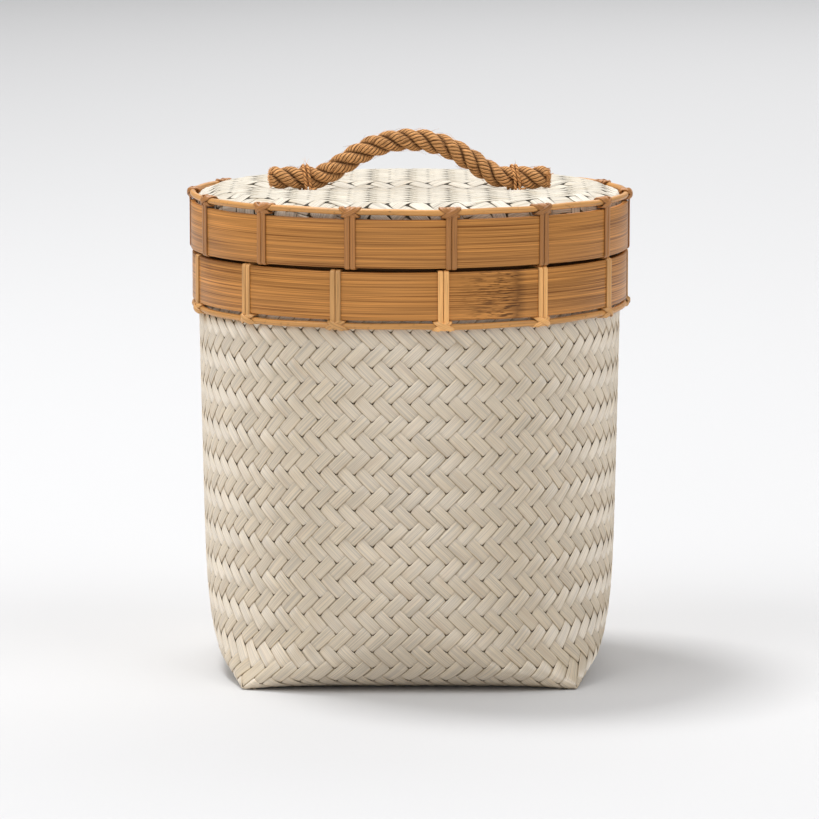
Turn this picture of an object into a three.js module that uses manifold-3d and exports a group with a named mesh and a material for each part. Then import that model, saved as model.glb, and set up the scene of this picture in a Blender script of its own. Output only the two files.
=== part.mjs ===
// Woven lidded basket: a square plaited base that rises to a round rim, a flat plaited lid, bamboo bands
// and rattan hoops round both rims, cane lashings, and a rope handle tied to the lid with twine.
// Millimetres, +Z up, the front of the basket faces -Y, the origin is the middle of the underside.

import * as THREE from 'three';
import { mergeVertices } from 'three/addons/utils/BufferGeometryUtils.js';
import Module from 'manifold-3d';

const wasm = await Module();
wasm.setup();

// Plaited body
const RIM_RADIUS = 125.6;
const RIM_HEIGHT = 247.5;
const WEAVE_THICKNESS = 2.2;
const BASE_HALF_SIDE = 101.9;
const BASE_CORNER_RADIUS = 4;
const BASE_EDGE_RADIUS = 5;
// Sharpest corner on the inside of the base
const LEAST_CORNER_RADIUS = 1;
// Radius that the round part of the wall loses from its hoop down to its base
const WALL_TAPER = 4.2;
// The square relaxes into the round by a factor of e over this height
const SQUARE_FADE_HEIGHT = 17.5;

// Bamboo bands, collar and rattan hoops
const BAND_HEIGHT = 27.8;
const OUTER_BAND_THICKNESS = 3.2;
const LID_INNER_BAND_THICKNESS = 1.5;
const COLLAR_THICKNESS = 2.2;
const COLLAR_STAND = 18;
const HOOP_DIAMETER = 3.6;
const BODY_HOOP_OFFSET = 1.7;
const LID_HOOP_OFFSET = 2.6;

// Lid
const LID_OVERHANG = 0.7;
const LID_SHOULDER_RADIUS = 4;

// Cane lashings, two turns of one flat strand each
const STRAND_WIDTH = 3;
const STRAND_THICKNESS = 0.6;
const STRAND_GAP = 0.5;
const TUCK_GAP = 3;
const CROSSING_LEAD = 5;
const RIM_LASHINGS = 13;
const LID_LASHINGS = 14;
const RIM_LASHING_START = THREE.MathUtils.degToRad(8.6);
const LID_LASHING_START = THREE.MathUtils.degToRad(10.6);

// Rope handle and its ties
const ROPE_DIAMETER = 13.5;
const ROPE_END_REACH = 83.5;
const TIE_REACH = 62;
const ARCH_RISE = 22.5;
const ARCH_FOOT_RADIUS = 20;
// The arch's steepest slope, as a multiple of its mean slope
const ARCH_FULLNESS = 1.65;
const TWINE_DIAMETER = 1.8;
const TIE_TURNS = 2;
const TIE_TURN_GAP = 0.6;

// Clearances
const FIT = 0.3;
const LID_CLEARANCE = 0.5;

// Facets
const ROUND_SEGMENTS = 48;
const HOOP_SIDES = 6;
const ROPE_SIDES = 10;
const ROPE_STEPS = 40;
const TWINE_SIDES = 6;
const TWINE_STEPS_PER_TURN = 24;
const SHOULDER_STEPS = 3;
const EDGE_STEPS = 2;
const WALL_STEPS_OUTSIDE = 8;
const WALL_STEPS_INSIDE = 6;
const GAP_SAMPLE = 0.5;

// Radii, from the outside of each rim inwards
const facetShrink = Math.cos(Math.PI / ROUND_SEGMENTS);
const hoopRadius = HOOP_DIAMETER / 2;
const lidRadius = RIM_RADIUS + LID_OVERHANG;
const lidBandInner = lidRadius + FIT;
const lidBandOuter = lidBandInner + OUTER_BAND_THICKNESS;
const lidInnerBandOuter = lidRadius - WEAVE_THICKNESS - FIT;
const lidInnerBandInner = lidInnerBandOuter - LID_INNER_BAND_THICKNESS;
const lidStrandInside = lidInnerBandInner * facetShrink - FIT - STRAND_THICKNESS / 2;
const collarOuter = lidStrandInside - STRAND_THICKNESS / 2 - LID_CLEARANCE;
const collarInner = collarOuter - COLLAR_THICKNESS;
const bodyBandInner = RIM_RADIUS + FIT;
const bodyBandOuter = bodyBandInner + OUTER_BAND_THICKNESS;
const bodyInnerBandOuter = RIM_RADIUS - WEAVE_THICKNESS - FIT;
const bodyInnerBandInner = collarOuter + FIT;
const bodyStrandInside = collarInner * facetShrink - FIT - STRAND_THICKNESS / 2;
const bodyHoopCentre = RIM_RADIUS + FIT + hoopRadius;
const lidHoopCentre = lidRadius + FIT + hoopRadius;

// Heights
const bodyBandBottom = RIM_HEIGHT - BAND_HEIGHT;
const bodyHoopHeight = bodyBandBottom - BODY_HOOP_OFFSET - hoopRadius;
const lidBottom = RIM_HEIGHT + 2 * STRAND_THICKNESS + 3 * FIT;
const lidBandTop = lidBottom + BAND_HEIGHT;
const lidHoopHeight = lidBandTop + LID_HOOP_OFFSET + hoopRadius;
const lidTop = lidHoopHeight + hoopRadius - FIT;
const collarTop = RIM_HEIGHT + COLLAR_STAND;
const strandPitch = STRAND_WIDTH + STRAND_GAP;
const strandLift = STRAND_THICKNESS + STRAND_GAP;
const roundFrom = bodyHoopHeight - 2 * HOOP_DIAMETER;
const ropeAxisHeight = lidTop + FIT + ROPE_DIAMETER / 2;

const bleachedWeave = new THREE.MeshStandardMaterial({ color: 0xc9b394, roughness: 0.75, metalness: 0 });
const paleWeave = new THREE.MeshStandardMaterial({ color: 0xd8cbb4, roughness: 0.75, metalness: 0 });
const brownBamboo = new THREE.MeshStandardMaterial({ color: 0xa8794c, roughness: 0.5, metalness: 0 });
const innerBamboo = new THREE.MeshStandardMaterial({ color: 0xc29a66, roughness: 0.6, metalness: 0 });
const rattan = new THREE.MeshStandardMaterial({ color: 0xb98a55, roughness: 0.5, metalness: 0 });
const cane = new THREE.MeshStandardMaterial({ color: 0xb58a55, roughness: 0.5, metalness: 0 });
const tanRope = new THREE.MeshStandardMaterial({ color: 0xc8a472, roughness: 0.9, metalness: 0 });
const twine = new THREE.MeshStandardMaterial({ color: 0xb59a6e, roughness: 0.9, metalness: 0 });

function addPiece(group, name, geometry, material) {
  const mesh = new THREE.Mesh(geometry, material);
  mesh.name = name;
  group.add(mesh);
  return mesh;
}

// A closed geometry as a solid, without the slivers that a lathe leaves on its axis
function toSolid(geometry) {
  const bare = geometry.clone();
  bare.deleteAttribute('normal');
  bare.deleteAttribute('uv');
  const merged = mergeVertices(bare, 1e-4);
  const index = merged.index.array;
  const triangles = [];
  for (let i = 0; i < index.length; i += 3) {
    const [a, b, c] = [index[i], index[i + 1], index[i + 2]];
    if (a !== b && b !== c && c !== a) triangles.push(a, b, c);
  }
  const vertProperties = new Float32Array(merged.attributes.position.array);
  const triVerts = new Uint32Array(triangles);
  return new wasm.Manifold(new wasm.Mesh({ numProp: 3, vertProperties, triVerts }));
}

function fromSolid(solid) {
  const mesh = solid.getMesh();
  const geometry = new THREE.BufferGeometry();
  geometry.setAttribute('position', new THREE.BufferAttribute(new Float32Array(mesh.vertProperties), 3));
  geometry.setIndex(new THREE.BufferAttribute(new Uint32Array(mesh.triVerts), 1));
  geometry.computeVertexNormals();
  return geometry;
}

function cutAll(geometry, cutters) {
  let solid = toSolid(geometry);
  for (const cutter of cutters) solid = solid.subtract(toSolid(cutter));
  return fromSolid(solid);
}

// Turns a profile of [radius, height] points about +Z
function turned(profile) {
  const points = profile.map(([radius, height]) => new THREE.Vector2(radius, height));
  const geometry = new THREE.LatheGeometry(points, ROUND_SEGMENTS);
  geometry.rotateX(Math.PI / 2);
  return geometry;
}

function band(inner, outer, bottom, top) {
  return turned([[inner, bottom], [outer, bottom], [outer, top], [inner, top], [inner, bottom]]);
}

function hoop(centreRadius, height) {
  const profile = [];
  for (let k = 0; k <= HOOP_SIDES; k++) {
    const angle = (k % HOOP_SIDES) * 2 * Math.PI / HOOP_SIDES;
    profile.push([centreRadius + hoopRadius * Math.cos(angle), height + hoopRadius * Math.sin(angle)]);
  }
  return turned(profile);
}

// Share of the square in a section of the body, one at the base and none at the hoop
function squareShare(height) {
  const least = Math.exp(-roundFrom / SQUARE_FADE_HEIGHT);
  const share = (Math.exp(-height / SQUARE_FADE_HEIGHT) - least) / (1 - least);
  return Math.max(share, 0);
}

// Point of a rounded square at a fraction of its outline, counted from the middle of the front side
function squarePoint(fraction, halfSide, cornerRadius) {
  const flat = halfSide - cornerRadius;
  const eighth = flat + cornerRadius * Math.PI / 4;
  const side = Math.round(fraction * 4);
  const along = (fraction * 4 - side) * 2 * eighth;
  const run = Math.abs(along);
  const turn = Math.max(run - flat, 0) / cornerRadius;
  const across = Math.min(run, flat) + cornerRadius * Math.sin(turn);
  const depth = flat + cornerRadius * Math.cos(turn);
  const local = new THREE.Vector2(Math.sign(along) * across, -depth);
  return local.rotateAround(new THREE.Vector2(), side * Math.PI / 2);
}

// Ring of points of the body's wall at a height, moved inwards by an inset
function bodyRing(height, inset) {
  const share = squareShare(height);
  const round = RIM_RADIUS - WALL_TAPER * Math.max(1 - height / roundFrom, 0);
  const halfSide = THREE.MathUtils.lerp(round, BASE_HALF_SIDE, share) - inset;
  const fullCorner = THREE.MathUtils.lerp(round, BASE_CORNER_RADIUS, share);
  const corner = Math.max(fullCorner - inset, LEAST_CORNER_RADIUS);
  const ring = [];
  for (let k = 0; k < ROUND_SEGMENTS; k++) {
    const point = squarePoint(k / ROUND_SEGMENTS, halfSide, corner);
    ring.push(new THREE.Vector3(point.x, point.y, height));
  }
  return ring;
}

// Closed skin through rings of points, with a flat fan at each end
function loft(rings) {
  const points = rings.flat();
  const last = rings.length - 1;
  const firstCentre = points.length;
  points.push(new THREE.Vector3(0, 0, rings[0][0].z));
  points.push(new THREE.Vector3(0, 0, rings[last][0].z));
  const index = [];
  for (let k = 0; k < ROUND_SEGMENTS; k++) {
    const next = (k + 1) % ROUND_SEGMENTS;
    index.push(firstCentre, next, k);
    index.push(firstCentre + 1, last * ROUND_SEGMENTS + k, last * ROUND_SEGMENTS + next);
    for (let level = 0; level < last; level++) {
      const low = level * ROUND_SEGMENTS;
      const high = low + ROUND_SEGMENTS;
      index.push(low + k, low + next, high + next);
      index.push(low + k, high + next, high + k);
    }
  }
  const geometry = new THREE.BufferGeometry().setFromPoints(points);
  geometry.setIndex(index);
  geometry.computeVertexNormals();
  return geometry;
}

// Heights of the wall's rings, closer together near the base where the section changes fastest
function wallLevels(bottom, steps) {
  const levels = [];
  for (let k = 1; k <= steps; k++) levels.push(bottom + (roundFrom - bottom) * (k / steps) ** 2);
  return levels;
}

function wovenBody() {
  const rings = [];
  for (let k = 0; k <= EDGE_STEPS; k++) {
    const angle = (k / EDGE_STEPS) * Math.PI / 2;
    const inset = BASE_EDGE_RADIUS * (1 - Math.sin(angle));
    rings.push(bodyRing(BASE_EDGE_RADIUS * (1 - Math.cos(angle)), inset));
  }
  const outerLevels = wallLevels(BASE_EDGE_RADIUS, WALL_STEPS_OUTSIDE);
  for (const height of outerLevels) rings.push(bodyRing(height, 0));
  rings.push(bodyRing(RIM_HEIGHT, 0));
  rings.push(bodyRing(RIM_HEIGHT, WEAVE_THICKNESS));
  const innerLevels = wallLevels(BASE_EDGE_RADIUS, WALL_STEPS_INSIDE).reverse();
  for (const height of innerLevels) rings.push(bodyRing(height, WEAVE_THICKNESS));
  rings.push(bodyRing(BASE_EDGE_RADIUS, WEAVE_THICKNESS));
  rings.push(bodyRing(WEAVE_THICKNESS, BASE_EDGE_RADIUS));
  return loft(rings);
}

function wovenLid() {
  const profile = [[0, lidTop - WEAVE_THICKNESS]];
  const inner = lidRadius - WEAVE_THICKNESS;
  const innerShoulder = Math.max(LID_SHOULDER_RADIUS - WEAVE_THICKNESS, FIT);
  profile.push([inner - innerShoulder, lidTop - WEAVE_THICKNESS]);
  profile.push([inner, lidTop - WEAVE_THICKNESS - innerShoulder]);
  profile.push([inner, lidBottom]);
  profile.push([lidRadius, lidBottom]);
  for (let k = 0; k <= SHOULDER_STEPS; k++) {
    const angle = (k / SHOULDER_STEPS) * Math.PI / 2;
    const radius = lidRadius - LID_SHOULDER_RADIUS * (1 - Math.cos(angle));
    profile.push([radius, lidTop - LID_SHOULDER_RADIUS * (1 - Math.sin(angle))]);
  }
  profile.push([0, lidTop]);
  return turned(profile);
}

// Frame of a place on a rim: x along the rim, y outwards, z up
function rimPlace(angle) {
  const along = new THREE.Vector3(Math.cos(angle), Math.sin(angle), 0);
  const outwards = new THREE.Vector3(Math.sin(angle), -Math.cos(angle), 0);
  return new THREE.Matrix4().makeBasis(along, outwards.negate(), new THREE.Vector3(0, 0, 1));
}

// Stops of one lashing strand: two turns over the rim that cross on the hoop, with tucked ends inside.
// A stop is its place along the rim, its radius, its height and the side that its next run faces.
function lashingStops(rim) {
  const half = strandPitch / 2;
  const up = rim.upward;
  const outside = rim.bandOuter + FIT + STRAND_THICKNESS / 2;
  const overHoop = rim.hoopCentre + hoopRadius + FIT + STRAND_THICKNESS / 2;
  const edge = rim.edge + up * (FIT + STRAND_THICKNESS / 2);
  const behind = rim.hoopHeight - up * (hoopRadius + FIT + STRAND_THICKNESS / 2);
  const crossEnd = behind + up * HOOP_DIAMETER / 2;
  const middle = (rim.edge + rim.bandEnd) / 2;
  const stops = [[-half, rim.inside, middle + up * TUCK_GAP / 2, 'in']];
  for (const turn of [0, 1]) {
    const from = turn === 0 ? -half : half;
    const lift = turn * strandLift;
    stops.push([from, rim.inside, edge, 'edge']);
    stops.push([from, outside, edge, 'out']);
    stops.push([from, outside, rim.bandEnd + up * CROSSING_LEAD, 'out']);
    stops.push([from, overHoop + lift, rim.bandEnd, 'out']);
    stops.push([-from, overHoop + lift, crossEnd - up * lift, 'out']);
    stops.push([-from, overHoop + lift, behind - up * lift, 'behind']);
    stops.push([-from, rim.inside, behind - up * lift, 'in']);
  }
  stops.push([-half, rim.inside, middle - up * TUCK_GAP / 2, 'in']);
  return stops;
}

// Direction that a run of strand faces, in the frame of its place on the rim
function facing(side, upward) {
  const sides = {
    in: new THREE.Vector3(0, 1, 0),
    out: new THREE.Vector3(0, -1, 0),
    edge: new THREE.Vector3(0, 0, upward),
    behind: new THREE.Vector3(0, 0, -upward),
  };
  return sides[side];
}

// Runs between stops, each with its length, its face and its width direction
function strandRuns(stops, upward) {
  const points = stops.map(([along, radius, height]) => new THREE.Vector3(along, -radius, height));
  const runs = [];
  for (let k = 0; k + 1 < points.length; k++) {
    const direction = points[k + 1].clone().sub(points[k]).normalize();
    const face = facing(stops[k][3], upward).clone();
    face.addScaledVector(direction, -face.dot(direction)).normalize();
    const width = new THREE.Vector3().crossVectors(direction, face);
    runs.push({ face, width });
  }
  return { points, runs };
}

// Four corners of the strand at each stop, mitred between the runs that meet there
function strandSections(stops, upward) {
  const { points, runs } = strandRuns(stops, upward);
  const mitred = (a, b) => a.clone().add(b).multiplyScalar(1 / (1 + a.dot(b)));
  return points.map((point, k) => {
    const before = runs[Math.max(k - 1, 0)];
    const after = runs[Math.min(k, runs.length - 1)];
    const face = mitred(before.face, after.face).multiplyScalar(STRAND_THICKNESS / 2);
    const width = mitred(before.width, after.width).multiplyScalar(STRAND_WIDTH / 2);
    const corners = [[1, 1], [-1, 1], [-1, -1], [1, -1]];
    return corners.map(([w, f]) => point.clone().addScaledVector(width, w).addScaledVector(face, f));
  });
}

function strandGeometry(sections) {
  const points = sections.flat();
  const end = 4 * (sections.length - 1);
  const index = [0, 1, 2, 0, 2, 3];
  index.push(end, end + 2, end + 1, end, end + 3, end + 2);
  for (let k = 0; k < end; k += 4) {
    for (let side = 0; side < 4; side++) {
      const a = k + side;
      const b = k + (side + 1) % 4;
      index.push(a, a + 4, b + 4, a, b + 4, b);
    }
  }
  const geometry = new THREE.BufferGeometry().setFromPoints(points);
  geometry.setIndex(index);
  geometry.computeVertexNormals();
  return geometry;
}

// Points on the edges of a strand, each with its distance along the strand
function strandPoints(sections) {
  const samples = [];
  let travelled = 0;
  for (let k = 0; k + 1 < sections.length; k++) {
    const length = sections[k][0].distanceTo(sections[k + 1][0]);
    const steps = Math.max(Math.ceil(length / GAP_SAMPLE), 1);
    for (let step = 0; step < steps; step++) {
      for (let corner = 0; corner < 4; corner++) {
        const point = sections[k][corner].clone().lerp(sections[k + 1][corner], step / steps);
        samples.push({ point, distance: travelled + length * step / steps });
      }
    }
    travelled += length;
  }
  return samples;
}

// Least distance between samples that lie further apart along their winding than a stated run
function leastGap(samples, run) {
  let least = Infinity;
  for (let i = 0; i < samples.length; i++) {
    for (let j = i + 1; j < samples.length; j++) {
      if (samples[j].distance - samples[i].distance < run) continue;
      least = Math.min(least, samples[i].point.distanceTo(samples[j].point));
    }
  }
  return least;
}

const bodyRim = {
  upward: 1,
  edge: RIM_HEIGHT,
  bandEnd: bodyBandBottom,
  bandOuter: bodyBandOuter,
  hoopCentre: bodyHoopCentre,
  hoopHeight: bodyHoopHeight,
  inside: bodyStrandInside,
};
const lidRim = {
  upward: -1,
  edge: lidBottom,
  bandEnd: lidBandTop,
  bandOuter: lidBandOuter,
  hoopCentre: lidHoopCentre,
  hoopHeight: lidHoopHeight,
  inside: lidStrandInside,
};

function lashingAngles(count, start) {
  return Array.from({ length: count }, (_, k) => start + k * 2 * Math.PI / count);
}

// Box cut at a place on a rim, between two radii and two heights, wide enough for both turns
function strandWindow(angle, innerRadius, outerRadius, bottom, top) {
  const width = strandPitch + STRAND_WIDTH + 2 * FIT;
  const box = new THREE.BoxGeometry(width, outerRadius - innerRadius, top - bottom);
  box.translate(0, -(innerRadius + outerRadius) / 2, (bottom + top) / 2);
  return box.applyMatrix4(rimPlace(angle));
}

const windowMargin = STRAND_THICKNESS / 2 + FIT;
const rimAngles = lashingAngles(RIM_LASHINGS, RIM_LASHING_START);
const lidAngles = lashingAngles(LID_LASHINGS, LID_LASHING_START);

// Windows in the wall below the hoop
function bodyWindows() {
  const top = bodyHoopHeight - hoopRadius;
  const bottom = top - FIT - STRAND_THICKNESS - strandLift - FIT;
  const inner = RIM_RADIUS - 2 * WEAVE_THICKNESS;
  const outer = RIM_RADIUS + WEAVE_THICKNESS;
  return rimAngles.map((angle) => strandWindow(angle, inner, outer, bottom, top));
}

// Slots in the collar at the level of the rim
function collarSlots() {
  const bottom = RIM_HEIGHT;
  const top = RIM_HEIGHT + STRAND_THICKNESS + 2 * FIT;
  const inner = collarInner - COLLAR_THICKNESS;
  const outer = collarOuter + COLLAR_THICKNESS;
  return rimAngles.map((angle) => strandWindow(angle, inner, outer, bottom, top));
}

// Windows in the lid's top, just inside its shoulder
function lidWindows() {
  const inner = lidStrandInside - windowMargin;
  const outer = lidStrandInside + windowMargin;
  const bottom = lidTop - 2 * WEAVE_THICKNESS;
  const top = lidTop + WEAVE_THICKNESS;
  return lidAngles.map((angle) => strandWindow(angle, inner, outer, bottom, top));
}

// A flat outline of lines and arcs, carried into space by a placing function
class PlacedRoute extends THREE.Curve {
  constructor(outline, place) {
    super();
    this.outline = outline;
    this.place = place;
  }

  getPoint(t) {
    return this.place(this.outline, t);
  }
}

function roundSection(diameter, sides) {
  const points = [];
  for (let k = 0; k < sides; k++) {
    const angle = (k + 0.5) * 2 * Math.PI / sides;
    points.push(new THREE.Vector2(Math.cos(angle), Math.sin(angle)).multiplyScalar(diameter / 2));
  }
  return new THREE.Shape(points);
}

function tube(route, diameter, sides, steps) {
  const settings = { steps, extrudePath: route, bevelEnabled: false };
  return new THREE.ExtrudeGeometry(roundSection(diameter, sides), settings);
}

const tiePitch = TWINE_DIAMETER + TIE_TURN_GAP;
const tieHalfWidth = (TIE_TURNS * tiePitch + TWINE_DIAMETER) / 2;

// Outline of the rope's axis: straight ends through the ties, and an arch of three arcs and two slopes
function ropeOutline() {
  const span = TIE_REACH - tieHalfWidth - FIT;
  const slope = Math.atan(ARCH_FULLNESS * ARCH_RISE / span);
  const foot = ARCH_FOOT_RADIUS;
  // The crown's radius and the slope's length close the arch on its span and rise
  const spanLeft = span - foot * Math.sin(slope);
  const riseLeft = ARCH_RISE - foot * (1 - Math.cos(slope));
  const crown = (spanLeft * Math.tan(slope) - riseLeft) * Math.cos(slope) / (1 - Math.cos(slope));
  const outline = new THREE.Path();
  const crownCentre = ropeAxisHeight + ARCH_RISE - crown;
  outline.moveTo(-ROPE_END_REACH, ropeAxisHeight);
  outline.lineTo(-span, ropeAxisHeight);
  outline.absarc(-span, ropeAxisHeight + foot, foot, -Math.PI / 2, slope - Math.PI / 2, false);
  outline.absarc(0, crownCentre, crown, Math.PI / 2 + slope, Math.PI / 2 - slope, true);
  outline.absarc(span, ropeAxisHeight + foot, foot, -Math.PI / 2 - slope, -Math.PI / 2, false);
  outline.lineTo(ROPE_END_REACH, ropeAxisHeight);
  return outline;
}

function ropeHandle() {
  const place = (outline, t) => {
    const point = outline.getPointAt(t);
    return new THREE.Vector3(point.x, 0, point.y);
  };
  return tube(new PlacedRoute(ropeOutline(), place), ROPE_DIAMETER, ROPE_SIDES, ROPE_STEPS);
}

const tieReachAcross = (ROPE_DIAMETER + TWINE_DIAMETER) / 2 + FIT;
// Below the lid the twine turns in, so that its legs stay straight inside the lid
const tieCorner = FIT + TWINE_DIAMETER / 2;
const tieBottom = lidTop - WEAVE_THICKNESS - tieCorner;

// One turn of a tie: over the rope, down through the lid and under it
function tieOutline() {
  const across = tieReachAcross;
  const corner = tieCorner;
  const outline = new THREE.Path();
  outline.moveTo(0, tieBottom);
  outline.lineTo(across - corner, tieBottom);
  outline.absarc(across - corner, tieBottom + corner, corner, -Math.PI / 2, 0, false);
  outline.lineTo(across, ropeAxisHeight);
  outline.absarc(0, ropeAxisHeight, across, 0, Math.PI, false);
  outline.lineTo(-across, tieBottom + corner);
  outline.absarc(corner - across, tieBottom + corner, corner, Math.PI, 1.5 * Math.PI, false);
  outline.lineTo(0, tieBottom);
  return outline;
}

function tieRoute(reach) {
  const place = (outline, t) => {
    const turns = t * TIE_TURNS;
    const point = outline.getPointAt(turns - Math.floor(Math.min(turns, TIE_TURNS - 1e-9)));
    return new THREE.Vector3(reach + (turns - TIE_TURNS / 2) * tiePitch, point.x, point.y);
  };
  return new PlacedRoute(tieOutline(), place);
}

function handleTie(reach) {
  return tube(tieRoute(reach), TWINE_DIAMETER, TWINE_SIDES, TIE_TURNS * TWINE_STEPS_PER_TURN);
}

// Slots in the lid on both sides of the rope, for the legs of a tie
function tieSlots(reach) {
  const length = 2 * (tieHalfWidth + FIT);
  const width = TWINE_DIAMETER + 2 * tieCorner;
  return [-1, 1].map((side) => {
    const box = new THREE.BoxGeometry(length, width, 4 * WEAVE_THICKNESS);
    box.translate(reach, side * tieReachAcross, lidTop);
    return box;
  });
}

// Distances between the turns of the wound pieces
function printGaps() {
  for (const [name, rim] of [['rim lashing', bodyRim], ['lid lashing', lidRim]]) {
    const samples = strandPoints(strandSections(lashingStops(rim), rim.upward));
    const gap = leastGap(samples, 2 * (STRAND_WIDTH + STRAND_THICKNESS));
    console.log(`${name}: least gap to itself ${gap.toFixed(2)} mm`);
  }
  const route = tieRoute(TIE_REACH);
  const length = route.getLength();
  const count = Math.ceil(length / GAP_SAMPLE);
  const samples = route.getSpacedPoints(count).map((point, k) => ({ point, distance: length * k / count }));
  const gap = leastGap(samples, 4 * TWINE_DIAMETER) - TWINE_DIAMETER;
  console.log(`handle tie: least gap to itself ${gap.toFixed(2)} mm`);
}

function addLashings(group, prefix, rim, angles) {
  const sections = strandSections(lashingStops(rim), rim.upward);
  angles.forEach((angle, k) => {
    const name = `${prefix}_${String(k + 1).padStart(2, '0')}`;
    const lashing = addPiece(group, name, strandGeometry(sections), cane);
    lashing.rotation.z = angle;
  });
}

const basket = new THREE.Group();
const rimOuterBand = band(bodyBandInner, bodyBandOuter, bodyBandBottom, RIM_HEIGHT);
const rimInnerBand = band(bodyInnerBandInner, bodyInnerBandOuter, bodyBandBottom, RIM_HEIGHT);
const plainCollar = band(collarInner, collarOuter, bodyBandBottom, collarTop);
addPiece(basket, 'woven_body', cutAll(wovenBody(), bodyWindows()), bleachedWeave);
addPiece(basket, 'rim_outer_band', rimOuterBand, brownBamboo);
addPiece(basket, 'rim_inner_band', rimInnerBand, innerBamboo);
addPiece(basket, 'lid_collar', cutAll(plainCollar, collarSlots()), innerBamboo);
addPiece(basket, 'rim_hoop', hoop(bodyHoopCentre, bodyHoopHeight), rattan);
addLashings(basket, 'rim_lashing', bodyRim, rimAngles);

const lid = new THREE.Group();
const lidCuts = [...lidWindows(), ...tieSlots(-TIE_REACH), ...tieSlots(TIE_REACH)];
const lidInnerBand = band(lidInnerBandInner, lidInnerBandOuter, lidBottom, lidBandTop);
addPiece(lid, 'woven_lid', cutAll(wovenLid(), lidCuts), paleWeave);
addPiece(lid, 'lid_outer_band', band(lidBandInner, lidBandOuter, lidBottom, lidBandTop), brownBamboo);
addPiece(lid, 'lid_inner_band', lidInnerBand, innerBamboo);
addPiece(lid, 'lid_hoop', hoop(lidHoopCentre, lidHoopHeight), rattan);
addLashings(lid, 'lid_lashing', lidRim, lidAngles);
addPiece(lid, 'handle_tie_left', handleTie(-TIE_REACH), twine);
addPiece(lid, 'handle_tie_right', handleTie(TIE_REACH), twine);
addPiece(lid, 'rope_handle', ropeHandle(), tanRope);

printGaps();

const box = new THREE.Group();
box.add(basket, lid);

export default box;
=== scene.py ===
import math

import bmesh
import bpy
import numpy as np
from bpy.props import FloatProperty, FloatVectorProperty, IntProperty, PointerProperty
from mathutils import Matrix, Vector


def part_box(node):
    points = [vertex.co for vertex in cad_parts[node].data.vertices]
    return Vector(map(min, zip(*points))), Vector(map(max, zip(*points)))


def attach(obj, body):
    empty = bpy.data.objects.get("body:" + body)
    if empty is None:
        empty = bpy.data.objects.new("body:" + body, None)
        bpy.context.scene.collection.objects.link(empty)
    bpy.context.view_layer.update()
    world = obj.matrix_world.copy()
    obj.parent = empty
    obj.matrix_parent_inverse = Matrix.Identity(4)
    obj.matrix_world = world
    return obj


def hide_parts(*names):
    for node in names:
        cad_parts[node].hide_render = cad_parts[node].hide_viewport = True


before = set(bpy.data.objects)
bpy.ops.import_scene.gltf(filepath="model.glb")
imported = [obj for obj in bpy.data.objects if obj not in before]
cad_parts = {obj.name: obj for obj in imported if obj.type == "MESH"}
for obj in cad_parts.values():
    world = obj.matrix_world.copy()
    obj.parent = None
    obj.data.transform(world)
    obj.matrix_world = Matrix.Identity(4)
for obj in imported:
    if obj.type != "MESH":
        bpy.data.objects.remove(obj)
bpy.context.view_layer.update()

bl_info = {
    "name": "Woven Lidded Box",
    "version": (1, 0, 0),
    "blender": (4, 5, 0),
    "location": "3D View > Sidebar > Woven Box",
    "description": "Makes a plaited box with banded rims, a lift-off lid and a rope handle",
    "category": "Add Mesh",
}

# Shapes are worked out in millimetres and put in their meshes in metres
MM = 0.001


def node_box(name):
    """Lowest and highest corner of a CAD node, in millimetres."""
    low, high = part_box(name)
    return np.array(low) / MM, np.array(high) / MM


BODY_HIGH = node_box("woven_body")[1]
LID_LOW, LID_HIGH = node_box("woven_lid")
RIM_RADIUS = BODY_HIGH[0]
RIM_HEIGHT = BODY_HIGH[2]
LID_RADIUS = LID_HIGH[0]
LID_BOTTOM = LID_LOW[2]
LID_TOP = LID_HIGH[2]

# Plaited body, as its CAD node is shaped but softer at the fold
BASE_HALF_SIDE = 101.9
BASE_CORNER_RADIUS = 8.0
BASE_EDGE_RADIUS = 16.0
TIP_EDGE_RADIUS = 4.0
# Half of the fold's arc, from the wall or from the base to its middle
FOLD_HALF = BASE_EDGE_RADIUS * math.pi / 4
# Taper of the round wall, height over which the square base fades into it and height that it is round from
WALL_TAPER = 4.2
SQUARE_FADE_HEIGHT = 17.5
ROUND_FROM = 209.0
# Height over which the rise of the base's edges fades out
EDGE_RISE_FADE = 40.0
WEAVE_THICKNESS = 2.2
# Distance that the strips end below the body's rim, and above the foot of the lid's skirt
RIM_TUCK = 3.0
LID_TUCK = 10.0
FLOOR_GAP = 0.05

# Lid and its rope
LID_SHOULDER_RADIUS = 4.0
# Width of the lid's sloping edge, from its shoulder in to its raised middle
LID_SLOPE = 9.0
ROPE_END_REACH = 83.5
TIE_REACH = 62.0
# Arch of the rope: place of its feet, rise, radius of the bend at a foot and steepness of its sides
ARCH_START = 58.4
ARCH_RISE = 22.5
ARCH_FOOT_RADIUS = 20.0
ARCH_FULLNESS = 1.65
ROPE_DIAMETER = 13.5
ROPE_FIT = 0.3
ROPE_AXIS_HEIGHT = LID_TOP + ROPE_FIT + ROPE_DIAMETER / 2
# Lead of a tie's twine along the rope from its top to its foot
TIE_SLANT = 2.0
# Turn of the rope's first strand at its left end, from straight up
STRAND_PHASE = 0.4
# Share of the rope's diameter that is a strand's radius, facets round a strand and spacing of points along it
STRAND_SHARE = 0.288
STRAND_FACETS = 84
ROPE_STEP = 0.7
# Places of a tie's two turns along the rope, and how far round the rope from its top they hug it, in radians
TIE_TURNS = (-1.2, 1.2)
TIE_WRAP = 1.9
# Length of one twist of the twine's plies, and loose fibres on a tie
PLY_LENGTH = 5.0
TWINE_FIBRES = 40
# Thickness of a fibre that stands off the rope, one in the brush at its ends and one on a tie
LOOSE_FIBRE = 0.2
END_FIBRE = 0.7
TWINE_FIBRE = 0.22
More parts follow.
